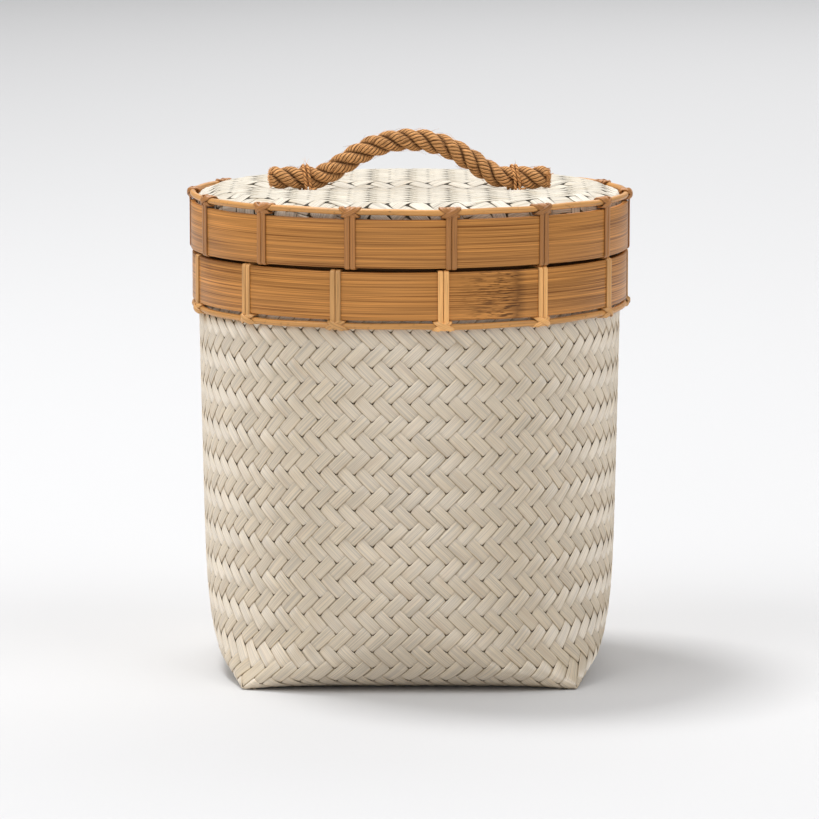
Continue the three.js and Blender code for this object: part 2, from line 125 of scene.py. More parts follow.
# Length along the rope and width across it over which a tie draws the lid down
TIE_DIP_LENGTH = 15.0
TIE_DIP_WIDTH = 50.0
# Hollow that the rope lies in: flat out to its half width, then rising over its slope to the lid's crown
HOLLOW_HALF_WIDTH = 12.0
HOLLOW_SLOPE = 20.0
HOLLOW_REACH = 88.0

# Rims
OUTER_BAND_THICKNESS = 3.2
RIM_INNER_BAND_THICKNESS = 2.16
LID_INNER_BAND_THICKNESS = 1.5
COLLAR_THICKNESS = 2.2
HOOP_RADIUS = 1.8
# Facets round a band or a hoop
ROUND_STEPS = 192
STRAND_WIDTH = 3.15
STRAND_GAP = 0.2
# Distance from the rim's edge to the ends of a strand, which lie inside
STRAND_FIRST_END = 12.0
STRAND_LAST_END = 16.0
# Number of lashings, turn of the first one from the front and radius of their run inside, for each rim
RIM_LASHINGS = 13
RIM_LASHING_START = math.radians(8.6)
RIM_LASHING_INSIDE = 117.6
LID_LASHINGS = 14
LID_LASHING_START = math.radians(10.6)
LID_LASHING_INSIDE = 121.4

# Camera, with its place in millimetres, and floor in metres
CAMERA_DISTANCE = 2860.0
CAMERA_ELEVATION = math.radians(7.8)
CAMERA_TARGET_HEIGHT = 151.3
CAMERA_LENS = 210.3
CAMERA_SENSOR = 36.0
CAMERA_FAR = 100.0
FLOOR_RADIUS = 60.0
# Strength of the even light from all round
SKY_STRENGTH = 0.36
# Soft square lights: place and target in metres, side in metres and power in watts
LIGHTS = {
    "top_light": ((-1.1, 0.9, 4.5), (0, 0, 0.12), 1.1, 140),
    "left_light": ((-2.45, -1.6, 2.95), (0, 0, 0.12), 2.8, 65),
    "right_light": ((2.45, -1.6, 2.95), (0, 0, 0.12), 2.6, 48),
    "front_light": ((-0.5, -3.6, 1.0), (0, 0, 0.2), 1.6, 8),
    "background_light": ((1.3, 5.6, 4.2), (1.3, 5.7, 0), 6.0, 216),
}

# Section of a plaited strip, as shares of its half width and half thickness, flat below and crowned above
STRIP_SECTION = np.array([
    (-1.0, 0.1), (-0.93, 0.75), (-0.45, 1.1), (0.45, 1.1), (0.93, 0.75), (1.0, 0.1),
    (0.85, -1.0), (-0.85, -1.0),
])
# Section of a split cane strand in shares of its half width and millimetres of height, crowned above
CANE_SECTION = np.array([
    (-1.0, -0.3), (-0.96, 0.2), (-0.8, 0.45), (-0.4, 0.6), (0.4, 0.6), (0.8, 0.45), (0.96, 0.2),
    (1.0, -0.3), (0.6, -0.5), (-0.6, -0.5),
])
# Places along a strip from one dive to the next, closest together where the strip bends
DIVE_STEPS = np.array([-1.0, -0.55, -0.3, -0.12, 0.12, 0.3, 0.55])
# How squarely a strip turns from a float into a dive, and how much of it draws in there, in strips crossed
DIVE_SQUARENESS = 2.2
DIVE_LENGTH = 0.3


def linear(colour):
    """Linear RGBA of an sRGB hex colour such as CBBDA4."""
    channels = [int(colour[k:k + 2], 16) / 255 for k in (0, 2, 4)]
    return (*[c / 12.92 if c <= 0.04045 else ((c + 0.055) / 1.055) ** 2.4 for c in channels], 1.0)


def colour_property(name, description, colour):
    return FloatVectorProperty(
        name=name, description=description, subtype="COLOR", size=4, min=0, max=1, default=linear(colour))


def length_property(name, description, millimetres):
    return FloatProperty(
        name=name, description=description, subtype="DISTANCE", unit="LENGTH", precision=5, min=0,
        default=millimetres * MM)


def share_property(name, description, share):
    return FloatProperty(name=name, description=description, subtype="FACTOR", default=share)


class WovenBoxWeave(bpy.types.PropertyGroup):
    strip_count: IntProperty(
        name="Body strips", description="Strips in each direction round the body", default=72, min=4)
    row_height: length_property("Row height", "Rise of the body's weave for every two strips crossed", 10.4)
    row_start: length_property("Row start", "Height of the body's first crossing above its fold", 5.97)
    rising_cover: share_property("Rising cover", "Share of the pitch that a rising strip covers", 0.98)
    falling_cover: share_property("Falling cover", "Share of the pitch that a falling strip covers", 1.0)
    strip_thickness: length_property("Strip thickness", "Thickness of a plaited strip", 0.5)
    weave_depth: length_property("Weave depth", "Height of a float above the middle of the weave", 0.48)
    lid_weave_depth: length_property("Lid weave depth", "Height of a float of the lid's weave", 0.34)
    pinch: share_property("Pinch", "Share of its width that a strip loses where it dives", 0.05)
    roll: length_property("Roll", "Rise of a strip's upper edge above its middle", 0.06)
    edge_rise: length_property("Edge rise", "Rise of the base's edges between its corners", 0.3)
    lid_pitch: length_property("Lid pitch", "Spacing of the lid's strips across the lid", 11.6)
    lid_shift: length_property("Lid shift", "Place of the lid's middle column of crossings along X", 4.0)
    lid_crown: length_property("Lid crown", "Height of the lid's middle above its shoulder", 3.3)
    tie_dip: length_property("Dip at the ties", "Depth that the ties draw the lid down", 0.4)
    seed: IntProperty(name="Seed", description="Start of the random variation between strips", default=7)


class WovenBoxRope(bpy.types.PropertyGroup):
    lay: length_property("Lay", "Length of one turn of a strand", 32.0)
    yarns: IntProperty(name="Yarns", description="Yarns in the skin of a strand", default=10, min=3)
    loose_fibres: IntProperty(
        name="Loose fibres", description="Fibres that stand off the rope", default=420, min=0)
    end_fibres: IntProperty(
        name="End fibres", description="Fibres in the brush at each cut end", default=120, min=0)
    twine_diameter: length_property("Twine", "Thickness of the twine that ties the rope", 1.8)


class WovenBoxColours(bpy.types.PropertyGroup):
    whitewash: colour_property("Whitewash", "Body strips where the wash is thick", "DDC8A6")
    bare_strip: colour_property("Bare strip", "Body strips where the wash has worn thin", "C4A376")
    lid_whitewash: colour_property("Lid whitewash", "Lid strips where the wash is thick", "D6CEBF")
    lid_bare_strip: colour_property("Lid bare strip", "Lid strips where the wash has worn thin", "C3AE89")
    bamboo: colour_property("Bamboo", "Outer bands between their dark streaks", "BC8040")
    bamboo_streak: colour_property("Bamboo streak", "Dark streaks of the outer bands", "764210")
    # Inner bands and collar are dark brown, partly the bamboo's own colour and partly painted shade for the
    # gap between the bands
    inner_bamboo: colour_property("Inner bamboo", "Inner bands and collar", "7E5730")
    rattan: colour_property("Rattan", "Hoops", "CD9350")
    rim_cane: colour_property("Rim cane", "Lashings of the body's rim", "D6A061")
    lid_cane: colour_property("Lid cane", "Lashings of the lid's rim", "A87038")
    rope: colour_property("Rope", "Rope fibre in the light", "DBA269")
    # Colour of the painted shade between the yarns
    rope_groove_shade: colour_property("Rope groove", "Rope fibre between the yarns", "4E280C")
    twine: colour_property("Twine", "Twine of the ties", "D89C62")
    floor: colour_property("Floor", "Floor that the box stands on", "CFCFD0")


def add_node(tree, kind, inputs=None, stops=None, **settings):
    """Adds a node, with its settings, the values or links of its inputs and the stops of a ramp."""
    node = tree.nodes.new(kind)
    for name, value in settings.items():
        setattr(node, name, value)
    for socket, value in (inputs or {}).items():
        if isinstance(value, bpy.types.NodeSocket):
            tree.links.new(value, node.inputs[socket])
        else:
            node.inputs[socket].default_value = value
    for k, (position, colour) in enumerate(stops or []):
        ramp = node.color_ramp.elements
        element = ramp[k] if k < len(ramp) else ramp.new(position)
        element.position = position
        element.color = colour
    return node


def new_material(name, roughness, specular):
    """Node material with its shader and output."""
    material = bpy.data.materials.new(name)
    material.use_nodes = True
    tree = material.node_tree
    tree.nodes.clear()
    gloss = {"Roughness": roughness, "Specular IOR Level": specular}
    shader = add_node(tree, "ShaderNodeBsdfPrincipled", gloss)
    add_node(tree, "ShaderNodeOutputMaterial", {"Surface": shader.outputs[0]})
    return material, tree, shader


def shade(colour, factor):
    """A colour made darker or lighter by a factor."""
    return (*[min(c * factor, 1.0) for c in colour[:3]], 1.0)


def strip_layers(tree):
    """Place along and across a strip or a strand, and the three parts of its look."""
    place = add_node(tree, "ShaderNodeAttribute", attribute_name="strip_place").outputs["Vector"]
    look = add_node(tree, "ShaderNodeAttribute", attribute_name="strip_look").outputs["Vector"]
    return place, *add_node(tree, "ShaderNodeSeparateXYZ", {"Vector": look}).outputs


def grain_pattern(tree, place, sizes, detail):
    """Long grain of a plant: noise stretched to a size along each axis, in the units of the place."""
    scale = tuple(1 / size for size in sizes)
    stretched = add_node(tree, "ShaderNodeMapping", {"Vector": place, "Scale": scale}).outputs[0]
    noise = {"Vector": stretched, "Scale": 1, "Detail": detail}
    return add_node(tree, "ShaderNodeTexNoise", noise).outputs[0]


def set_surface(tree, shader, colour, height, strength, depth):
    """Gives a material its colour, and a relief that is a depth in millimetres."""
    relief = {"Strength": strength, "Distance": depth * MM, "Height": height}
    bump = add_node(tree, "ShaderNodeBump", relief).outputs[0]
    tree.links.new(colour, shader.inputs["Base Color"])
    tree.links.new(bump, shader.inputs["Normal"])


def strip_material(name, wash, bare, sheen, reach):
    """Whitewashed split leaf: finely ribbed, silky across its ribs, with the wash worn in places, painted
    shade at dives, holes and lower edges and a painted highlight on upper edges.
    """
    material, tree, shader = new_material(name, 0.6, sheen)
    # Far above a leaf's own, for the broad sheen of the chalky wash
    shader.inputs["IOR"].default_value = 4.5
    shader.inputs["Anisotropic"].default_value = 1.0
    across = add_node(tree, "ShaderNodeAttribute", attribute_name="strip_across").outputs["Vector"]
    tree.links.new(across, shader.inputs["Tangent"])
    place, tint, edge, lift = strip_layers(tree)
    # Ribs 45 mm long and 0.4 mm wide, coarser than the leaf's own so that they show
    ribs = grain_pattern(tree, place, (45, 0.4, 1), 2)
    # Worn places 30 mm long and 4 mm wide
    wear = grain_pattern(tree, place, (30, 4, 1), 4)
    washed = add_node(
        tree, "ShaderNodeValToRGB", {"Fac": ribs},
        [(0.38, shade(wash, 0.7)), (0.5, shade(wash, 0.98)), (0.62, shade(wash, 1.18))]).outputs[0]
    worn = add_node(tree, "ShaderNodeMapRange", {0: wear, 1: 0.52, 2: 0.75, 3: 0.0, 4: 0.5}).outputs[0]
    leaf = add_node(tree, "ShaderNodeMix", {0: worn, 6: washed, 7: bare}, data_type="RGBA").outputs[2]
    value = add_node(tree, "ShaderNodeMapRange", {0: tint, 1: 0, 2: 1, 3: 0.95, 4: 1.04}).outputs[0]
    tinted = add_node(tree, "ShaderNodeHueSaturation", {"Value": value, "Color": leaf}).outputs[0]
    # Painted shade along the lower cut edge and a painted highlight along the upper one
    lower_edge_shade = add_node(tree, "ShaderNodeMapRange", {0: edge, 1: -0.78, 2: -1.0, 3: 0.0, 4: 0.62}).outputs[0]
    upper = add_node(tree, "ShaderNodeMapRange", {0: edge, 1: 0.84, 2: 0.95, 3: 0.0, 4: 0.7}).outputs[0]
    # Painted shade where a strip dives and near-black painted shade in a small hole beside it. The weave
    # shows from inside too, so what lies below this depth counts as if it lay as far above it
    dive_depth = 0.25
    raised = add_node(tree, "ShaderNodeMath", {0: lift, 1: dive_depth}, operation="ADD").outputs[0]
    apart = add_node(tree, "ShaderNodeMath", {0: raised}, operation="ABSOLUTE").outputs[0]
    above = add_node(tree, "ShaderNodeMath", {0: apart, 1: dive_depth}, operation="SUBTRACT").outputs[0]
    dive_shade = add_node(tree, "ShaderNodeMapRange", {0: above, 1: 0.6, 2: 0.0, 3: 0.0, 4: 0.35}).outputs[0]
    corner = add_node(
        tree, "ShaderNodeMath", {0: edge, 1: 0.42, 2: above}, operation="MULTIPLY_ADD").outputs[0]
    hole_shade = add_node(
        tree, "ShaderNodeMapRange", {0: corner, 1: reach, 2: reach - 0.16, 3: 0.0, 4: 0.95}).outputs[0]
    # Painted shade and highlight laid over the leaf's colour
    painted_shading = [
        (lower_edge_shade, shade(bare, 0.5)), (upper, shade(wash, 1.2)), (dive_shade, shade(bare, 0.5)),
        (hole_shade, shade(bare, 0.05)),
    ]
    shaded_leaf = tinted
    for share, colour in painted_shading:
        shaded_leaf = add_node(
            tree, "ShaderNodeMix", {0: share, 6: shaded_leaf, 7: colour}, data_type="RGBA").outputs[2]
    # No sheen where the holes and the lower edges carry painted shade
    matt = add_node(tree, "ShaderNodeMath", {0: hole_shade, 1: lower_edge_shade}, operation="MAXIMUM").outputs[0]
    gloss = add_node(tree, "ShaderNodeMapRange", {0: matt, 1: 0.0, 2: 0.6, 3: sheen, 4: 0.02}).outputs[0]
    tree.links.new(gloss, shader.inputs["Specular IOR Level"])
    set_surface(tree, shader, shaded_leaf, ribs, 0.35, 0.12)
    return material


def bamboo_material(name, light, streak, roughness, node_angle, node_depth):
    """Split bamboo bent into a band: satin, finely streaked, with dark dashes beside the stem's rings."""
    material, tree, shader = new_material(name, roughness, 0.28)
    place = add_node(tree, "ShaderNodeTexCoord").outputs["Object"]
    x, y = add_node(tree, "ShaderNodeSeparateXYZ", {"Vector": place}).outputs[:2]
    # Lines 90 mm long and 0.35 mm high, streaks 150 by 0.9, patches of colour 60 by 9 and dashes 7 by 0.75
    fine, middle, broad, dash = [
        grain_pattern(tree, place, (length * MM, length * MM, height * MM), detail)
        for length, height, detail in ((90, 0.35, 2), (150, 0.9, 2), (60, 9, 1), (7, 0.75, 2))
    ]
    grain = add_node(tree, "ShaderNodeMix", {0: 0.45, 2: fine, 3: middle}).outputs[0]
    streaks = add_node(
        tree, "ShaderNodeValToRGB", {"Fac": grain},
        [(0.36, streak), (0.46, shade(light, 0.8)), (0.53, light), (0.64, shade(light, 1.45))]).outputs[0]
    value = add_node(tree, "ShaderNodeMapRange", {0: broad, 1: 0.3, 2: 0.7, 3: 0.9, 4: 1.08}).outputs[0]
    banded = add_node(tree, "ShaderNodeHueSaturation", {"Value": value, "Color": streaks}).outputs[0]
    # Two rings of the stem round the band, each a little ragged and with dashes for about 40 mm on one side
    back = add_node(tree, "ShaderNodeMath", {0: y, 1: -1.0}, operation="MULTIPLY").outputs[0]
    angle = add_node(tree, "ShaderNodeMath", {0: x, 1: back}, operation="ARCTAN2").outputs[0]
    turned = add_node(tree, "ShaderNodeMath", {0: angle, 1: node_angle}, operation="SUBTRACT").outputs[0]
    ragged = add_node(
        tree, "ShaderNodeMath", {0: middle, 1: 0.08, 2: turned}, operation="MULTIPLY_ADD").outputs[0]
    near = add_node(
        tree, "ShaderNodeMath", {0: ragged, 1: math.pi / 2, 2: -math.pi / 2}, operation="WRAP").outputs[0]
    away = add_node(tree, "ShaderNodeMath", {0: near}, operation="ABSOLUTE").outputs[0]
    ring = add_node(
        tree, "ShaderNodeMapRange", {0: away, 1: 0.0, 2: 0.045, 3: node_depth, 4: 0.0}).outputs[0]
    reach = add_node(tree, "ShaderNodeMapRange", {0: near, 1: -0.32, 2: -0.1, 3: 0.0, 4: 1.0}).outputs[0]
    stop = add_node(tree, "ShaderNodeMapRange", {0: near, 1: 0.0, 2: 0.02, 3: 1.0, 4: 0.0}).outputs[0]
    patch = add_node(tree, "ShaderNodeMath", {0: reach, 1: stop}, operation="MULTIPLY").outputs[0]
    dark = add_node(tree, "ShaderNodeMapRange", {0: dash, 1: 0.5, 2: 0.62, 3: 0.0, 4: 0.85}).outputs[0]
    dashes = add_node(tree, "ShaderNodeMath", {0: dark, 1: patch}, operation="MULTIPLY").outputs[0]
    marks = add_node(tree, "ShaderNodeMath", {0: dashes, 1: ring}, operation="MAXIMUM").outputs[0]
    marked = add_node(
        tree, "ShaderNodeMix", {0: marks, 6: banded, 7: shade(streak, 0.4)}, data_type="RGBA").outputs[2]
    set_surface(tree, shader, marked, fine, 0.3, 0.15)
    return material


def rattan_material(name, light):
    """Round peeled rattan: satin, smooth, with faint long streaks and a few brown specks."""
    material, tree, shader = new_material(name, 0.42, 0.5)
    place = add_node(tree, "ShaderNodeTexCoord").outputs["Object"]
    # Streaks 50 mm long and 0.7 mm high, specks 2.5 mm across
    streak = grain_pattern(tree, place, (50 * MM, 50 * MM, 0.7 * MM), 3)
    speck = add_node(
        tree, "ShaderNodeTexNoise", {"Vector": place, "Scale": 1 / (2.5 * MM), "Detail": 2}).outputs[0]
    peeled = add_node(
        tree, "ShaderNodeValToRGB", {"Fac": streak},
        [(0.3, shade(light, 0.7)), (0.52, light), (0.75, shade(light, 1.2))]).outputs[0]
    brown = add_node(tree, "ShaderNodeMapRange", {0: speck, 1: 0.62, 2: 0.75, 3: 0.0, 4: 0.55}).outputs[0]
    specked = add_node(
        tree, "ShaderNodeMix", {0: brown, 6: peeled, 7: shade(light, 0.35)}, data_type="RGBA").outputs[2]
    set_surface(tree, shader, specked, streak, 0.2, 0.1)
    return material


def cane_material(name, light):
    """Split cane binding: satin bark, lengthwise grooves, a colour of its own for each binding and painted
    shade along its edges.
    """
    material, tree, shader = new_material(name, 0.42, 0.5)
    place, tint, edge = strip_layers(tree)[:3]
    # Grooves 25 mm long and 0.6 mm wide
    groove = grain_pattern(tree, place, (25, 0.6, 1), 3)
    bark = add_node(
        tree, "ShaderNodeValToRGB", {"Fac": groove},
        [(0.28, shade(light, 0.62)), (0.48, light), (0.75, shade(light, 1.22))]).outputs[0]
    value = add_node(tree, "ShaderNodeMapRange", {0: tint, 1: 0, 2: 1, 3: 0.76, 4: 1.3}).outputs[0]
    tinted = add_node(tree, "ShaderNodeHueSaturation", {"Value": value, "Color": bark}).outputs[0]
    # Painted shade along both cut edges, for the dark line between a lashing's strands
    from_middle = add_node(tree, "ShaderNodeMath", {0: edge}, operation="ABSOLUTE").outputs[0]
    edge_shade = add_node(tree, "ShaderNodeMapRange", {0: from_middle, 1: 0.9, 2: 1.0, 3: 0.0, 4: 0.4}).outputs[0]
    edge_shaded = add_node(
        tree, "ShaderNodeMix", {0: edge_shade, 6: tinted, 7: shade(light, 0.35)}, data_type="RGBA").outputs[2]
    set_surface(tree, shader, edge_shaded, groove, 0.3, 0.12)
    return material


def fibre_material(name, light, groove):
    """Twisted plant fibre: dull, hairy, light on the yarns' crowns, with painted shade between the yarns and
    deep between the strands.
    """
    material, tree, shader = new_material(name, 0.85, 0.2)
    place, tint, turn, rim = strip_layers(tree)
    wave = add_node(tree, "ShaderNodeMath", {0: turn}, operation="COSINE").outputs[0]
    crown = add_node(tree, "ShaderNodeMath", {0: wave}, operation="ABSOLUTE").outputs[0]
    # Hairs 9 mm long and 0.35 mm thick
    hair = grain_pattern(tree, place, (9, 0.35, 1), 4)
    hairs = add_node(
        tree, "ShaderNodeValToRGB", {"Fac": hair},
        [(0.35, shade(groove, 1.6)), (0.46, shade(light, 0.85)), (0.6, shade(light, 1.3))]).outputs[0]
    value = add_node(tree, "ShaderNodeMapRange", {0: tint, 1: 0, 2: 1, 3: 0.88, 4: 1.12}).outputs[0]
    tinted = add_node(tree, "ShaderNodeHueSaturation", {"Value": value, "Color": hairs}).outputs[0]
    # Painted shade in the grooves between the yarns, and deep between the strands near the rope's middle
    yarn_groove_shade = add_node(tree, "ShaderNodeMapRange", {0: crown, 1: 0.6, 2: 0.12, 3: 0.0, 4: 0.9}).outputs[0]
    strand_groove_shade = add_node(tree, "ShaderNodeMapRange", {0: rim, 1: 0.86, 2: 0.66, 3: 0.0, 4: 0.9}).outputs[0]
    dark = add_node(tree, "ShaderNodeMath", {0: yarn_groove_shade, 1: strand_groove_shade}, operation="MAXIMUM").outputs[0]
    shaded_fibre = add_node(
        tree, "ShaderNodeMix", {0: dark, 6: tinted, 7: shade(groove, 0.5)}, data_type="RGBA").outputs[2]
    hairy = add_node(
        tree, "ShaderNodeMath", {0: hair, 1: 0.5, 2: crown}, operation="MULTIPLY_ADD").outputs[0]
    set_surface(tree, shader, shaded_fibre, hairy, 0.8, 0.5)
    return material


def new_shape():
    """Empty bmesh with the layers that the materials of strips, cane and fibre read."""
    bm = bmesh.new()
    for name in ("strip_place", "strip_look", "strip_across"):
        bm.verts.layers.float_vector.new(name)
    return bm


def add_tube(bm, rings, **layers):
    """Wraps a grid round rings of points in millimetres and merges its long edges into a tube.

    Each of a layer's three parts is one number or an array that spreads over the rings and their points.
    """
    count, around = rings.shape[:2]
    verts = bmesh.ops.create_grid(bm, x_segments=around, y_segments=count - 1, size=1)["verts"]
    for vert, point in zip(verts, np.concatenate([rings, rings[:, :1]], axis=1).reshape(-1, 3) * MM):
        vert.co = point
    for name, parts in layers.items():
        layer = bm.verts.layers.float_vector[name]
        values = np.stack([np.broadcast_to(part, (count, around)) for part in parts], axis=-1)
        for vert, value in zip(verts, np.concatenate([values, values[:, :1]], axis=1).reshape(-1, 3)):
            vert[layer] = value
    seam = [verts[row * (around + 1) + column] for row in range(count) for column in (0, around)]
    bmesh.ops.remove_doubles(bm, verts=seam, dist=1e-7)


def new_piece(bm, name, body, material, nodes):
    """Closes a shape's open ends and makes it a piece that rides on a body and stands for CAD nodes."""
    open_edges = [edge for edge in bm.edges if edge.is_boundary]
    bmesh.ops.holes_fill(bm, edges=open_edges, sides=0)
    bmesh.ops.recalc_face_normals(bm, faces=bm.faces[:])
    if not bm.faces:
        raise RuntimeError(f"{name} has no faces")
    mesh = bpy.data.meshes.new(name)
    bm.to_mesh(mesh)
    bm.free()
    mesh.shade_smooth()
    mesh.materials.append(material)
    piece = bpy.data.objects.new(name, mesh)
    bpy.context.scene.collection.objects.link(piece)
    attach(piece, body)
    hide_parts(*nodes)


def unit(vectors):
    return vectors / np.maximum(np.linalg.norm(vectors, axis=-1, keepdims=True), 1e-9)


def body_section(height):
    """Half side and corner radius of the body's rounded square section at a height."""
    least = math.exp(-ROUND_FROM / SQUARE_FADE_HEIGHT)
    share = np.maximum((np.exp(-height / SQUARE_FADE_HEIGHT) - least) / (1 - least), 0)
    rounded = RIM_RADIUS - WALL_TAPER * np.maximum(1 - height / ROUND_FROM, 0)
    return rounded + (BASE_HALF_SIDE - rounded) * share, rounded + (BASE_CORNER_RADIUS - rounded) * share


def body_skin(fraction, run, edge_rise):
    """Points of the body's outer skin, a fraction of the way round it and a run up from the base's fold."""
    side = np.round(fraction * 4)
    local = (fraction * 4 - side) * 2
    # The fold is sharper towards the corners, whose tips stand on the floor
    edge = BASE_EDGE_RADIUS - (BASE_EDGE_RADIUS - TIP_EDGE_RADIUS) * local ** 6
    turn = np.clip(run / edge + math.pi / 4, 0, math.pi / 2)
    height = edge * (1 - np.cos(turn)) + np.maximum(run - edge * math.pi / 4, 0)
    inset = edge * (1 - np.sin(turn))
    half, corner = body_section(height)
    half = half - inset
    corner = np.maximum(corner - inset, 1.0)
    flat = half - corner
    along = np.abs(local) * (flat + corner * math.pi / 4)
    bend = np.maximum(along - flat, 0) / corner
    across = np.sign(local) * (np.minimum(along, flat) + corner * np.sin(bend))
    depth = flat + corner * np.cos(bend) - np.maximum(-edge * math.pi / 4 - run, 0)
    rise = edge_rise * (1 - (local * depth / half) ** 2) * np.exp(-height / EDGE_RISE_FADE)
    turned = side * math.pi / 2
    x = across * np.cos(turned) + depth * np.sin(turned)
    y = across * np.sin(turned) - depth * np.cos(turned)
    return np.stack([x, y, height + rise], axis=-1)


def ease(share):
    """Share from 0 to 1 that starts and ends gently."""
    share = np.clip(share, 0, 1)
    return share ** 2 * (3 - 2 * share)


def lid_skin(x, y, crown, tie_dip):
    """Points of the lid's outer skin, from a flat sheet that folds down over the shoulder."""
    reach = np.maximum(np.hypot(x, y), 1e-6)
    flat = LID_RADIUS - LID_SHOULDER_RADIUS
    run = reach - flat
    turn = np.clip(run / LID_SHOULDER_RADIUS, 0, math.pi / 2)
    radius = np.minimum(reach, flat) + LID_SHOULDER_RADIUS * np.sin(turn)
    drop = LID_SHOULDER_RADIUS * (1 - np.cos(turn)) + np.maximum(run - LID_SHOULDER_RADIUS * math.pi / 2, 0)
    swell = crown * ease((flat - reach) / LID_SLOPE)
    beside = ease((np.abs(y) - HOLLOW_HALF_WIDTH) / HOLLOW_SLOPE)
    beyond = ease((np.abs(x) - HOLLOW_REACH) / HOLLOW_SLOPE)
    outside = np.maximum(beside, beyond)
    dip = tie_dip * np.exp(-((np.abs(x) - TIE_REACH) / TIE_DIP_LENGTH) ** 2 - (y / TIE_DIP_WIDTH) ** 2)
    height = LID_TOP - drop + swell * outside - dip
    return np.stack([x / reach * radius, y / reach * radius, height], axis=-1)


def strip_samples(low, high):
    """Places along a strip, counted in strips crossed, between two ends."""
    dives = np.arange(math.floor(low / 2) - 1, math.ceil(high / 2) + 1) * 2 + 1
    places = (dives[:, None] + DIVE_STEPS).ravel()
    inside = places[(places > low + 0.05) & (places < high - 0.05)]
    return np.concatenate([[low], inside, [high]])


def add_strip(bm, skin, number, rising, low, high, pitch, depth, weave, random):
    """One plaited strip: two over, two under, along a diagonal of the skin's lattice."""
    crossed = strip_samples(low, high)
    row = (crossed + 0.5) / 2
    way = 1 if rising else -1
    wave = np.tanh(DIVE_SQUARENESS * np.cos(crossed * math.pi / 2)) / math.tanh(DIVE_SQUARENESS) * way
    # A strip draws in where it dives, which leaves small gaps at the corners of the floats that the material
    # paints near-black as shade
    dive = np.exp(-((crossed % 2 - 1) / DIVE_LENGTH) ** 2)
    cover = weave.rising_cover if rising else weave.falling_cover
    width = cover * random.uniform(0.985, 1.01) * (1 - weave.pinch * dive)
    sway = 0.015 * np.sin(crossed * 0.31 + random.uniform(0, 6.3)) + 0.01 * np.sin(crossed * 0.83 + number)
    across = STRIP_SECTION[:, 0] * width[:, None] / 2 + sway[:, None]
    u = number + across / 2 + row[:, None] * way
    v = row[:, None] - across / 2 * way
    step = 0.02
    outwards = unit(np.cross(skin(u + step, v) - skin(u - step, v), skin(u, v + step) - skin(u, v - step)))
    upper = -way * STRIP_SECTION[:, 0]
    lift = -WEAVE_THICKNESS / 2 + depth / MM * wave[:, None] + weave.roll / MM * upper
    lift = lift + weave.strip_thickness / MM / 2 * STRIP_SECTION[:, 1]
    rings = skin(u, v) + outwards * lift[..., None]
    rings[..., 2] = np.maximum(rings[..., 2], FLOOR_GAP)
    crosswise = unit(rings[:, 4] - rings[:, 1])
    add_tube(
        bm, rings, strip_place=(crossed[:, None] * pitch, across * pitch, number * 3.7 + rising * 911),
        strip_look=(random.random(), upper, wave[:, None]), strip_across=crosswise.T[..., None])


class WOVENBOX_OT_body_weave(bpy.types.Operator):
    """Plait the body from strips that run up its wall on the bias and under its base"""
    bl_idname = "woven_box.body_weave"
    bl_label = "Body Weave"

    def execute(self, context):
        weave = context.scene.woven_box_weave
        colours = context.scene.woven_box_colours
        wash = tuple(colours.whitewash)
        material = strip_material("whitewashed_leaf", wash, tuple(colours.bare_strip), 0.5, -0.1)
        random = np.random.default_rng(weave.seed)
        row_height = weave.row_height / MM
        row_start = weave.row_start / MM
        edge_rise = weave.edge_rise / MM
        count = weave.strip_count
        half = BASE_HALF_SIDE - BASE_EDGE_RADIUS
        side_strips = count / 4
        base_pitch = 2 * half / side_strips
        fold_row = (FOLD_HALF + row_start) / row_height
        high = 2 * (RIM_HEIGHT - RIM_TUCK - BASE_EDGE_RADIUS + FOLD_HALF - row_start) / row_height - 0.5
        pitch = row_height / math.sqrt(2)

        def skin(u, v):
            return body_skin(u / count, row_start + v * row_height, edge_rise)

        for rising in (True, False):
            way = 1 if rising else -1
            for half_turn in (0, 1):
                bm = new_shape()
                for number in range(half_turn * count // 2, (half_turn + 1) * count // 2):
                    # A strip crosses the base up to the diagonal that ends its side
                    at_fold = number - way * fold_row
                    from_middle = (at_fold + side_strips / 2) % side_strips - side_strips / 2
                    under = (half + way * from_middle * base_pitch) / (1 + base_pitch / row_height)
                    low = 2 * (-FOLD_HALF - under - row_start) / row_height - 0.5
                    add_strip(
                        bm, skin, number, rising, low, high, pitch, weave.weave_depth, weave, random)
                name = f"body_weave_{'rising' if rising else 'falling'}_{half_turn + 1}"
                new_piece(bm, name, "basket", material, ["woven_body"])
        return {"FINISHED"}


